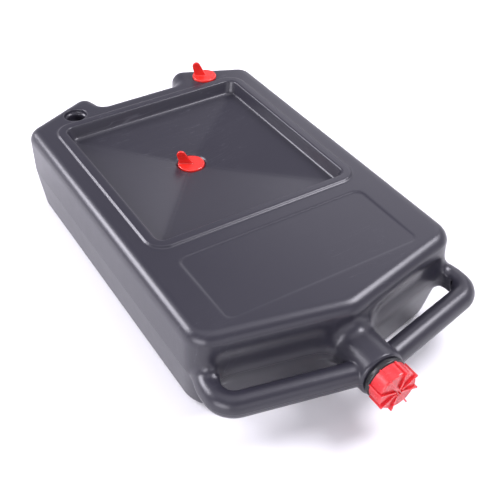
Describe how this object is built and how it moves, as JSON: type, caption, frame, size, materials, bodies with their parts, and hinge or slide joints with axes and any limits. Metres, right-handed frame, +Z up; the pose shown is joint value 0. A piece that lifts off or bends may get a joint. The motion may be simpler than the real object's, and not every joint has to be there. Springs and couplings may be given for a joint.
{
  "type": "oil drain pan",
  "caption": "Low closed tank for drained oil, with a rimmed drain tray in its top, push-in plugs, a capped pouring spout and a V-shaped carrying handle.",
  "frame": {"origin": "middle of the bounding box's underside, on the ground below the tank", "axes": "+Z up; -Y forwards, where the spout and the handle are; +X to the side with the vent plug"},
  "size_m": [0.3452, 0.6098, 0.1433],
  "materials": {
    "tank_plastic": "satin charcoal polyethylene",
    "plug_plastic": "satin red polyethylene",
    "cap_plastic": "slightly glossy red plastic",
    "seal_rubber": "smooth black rubber",
    "liner_rubber": "matt pale grey foam rubber"
  },
  "bodies": {
    "tank": {"tank": "tank_plastic", "neck_seal": "seal_rubber"},
    "drain_plug": {"drain_plug": "plug_plastic"},
    "vent_plug": {"vent_plug": "plug_plastic"},
    "cap_lift": {"cap_liner": "liner_rubber"},
    "spout_cap": {"spout_cap": "cap_plastic"}
  },
  "joints": [
    {"name": "drain_plug_pull", "type": "slide", "parent": "tank", "child": "drain_plug", "axis": [0, 0, 1], "range_m": [0, 0.06]},
    {"name": "vent_plug_pull", "type": "slide", "parent": "tank", "child": "vent_plug", "axis": [0, 0, 1], "range_m": [0, 0.03]},
    {"name": "cap_travel", "type": "slide", "parent": "tank", "child": "cap_lift", "axis": [0, -1, 0], "range_m": [0, 0.008]},
    {"name": "cap_turn", "type": "hinge", "parent": "cap_lift", "child": "spout_cap", "pos_m": [0, -0.3, 0.063], "axis": [0, -1, 0], "range_deg": [0, 720]}
  ],
  "couplings": [
    {"joint": "cap_travel", "follows": "cap_turn", "m_per_rad": 0.00063662}
  ]
}
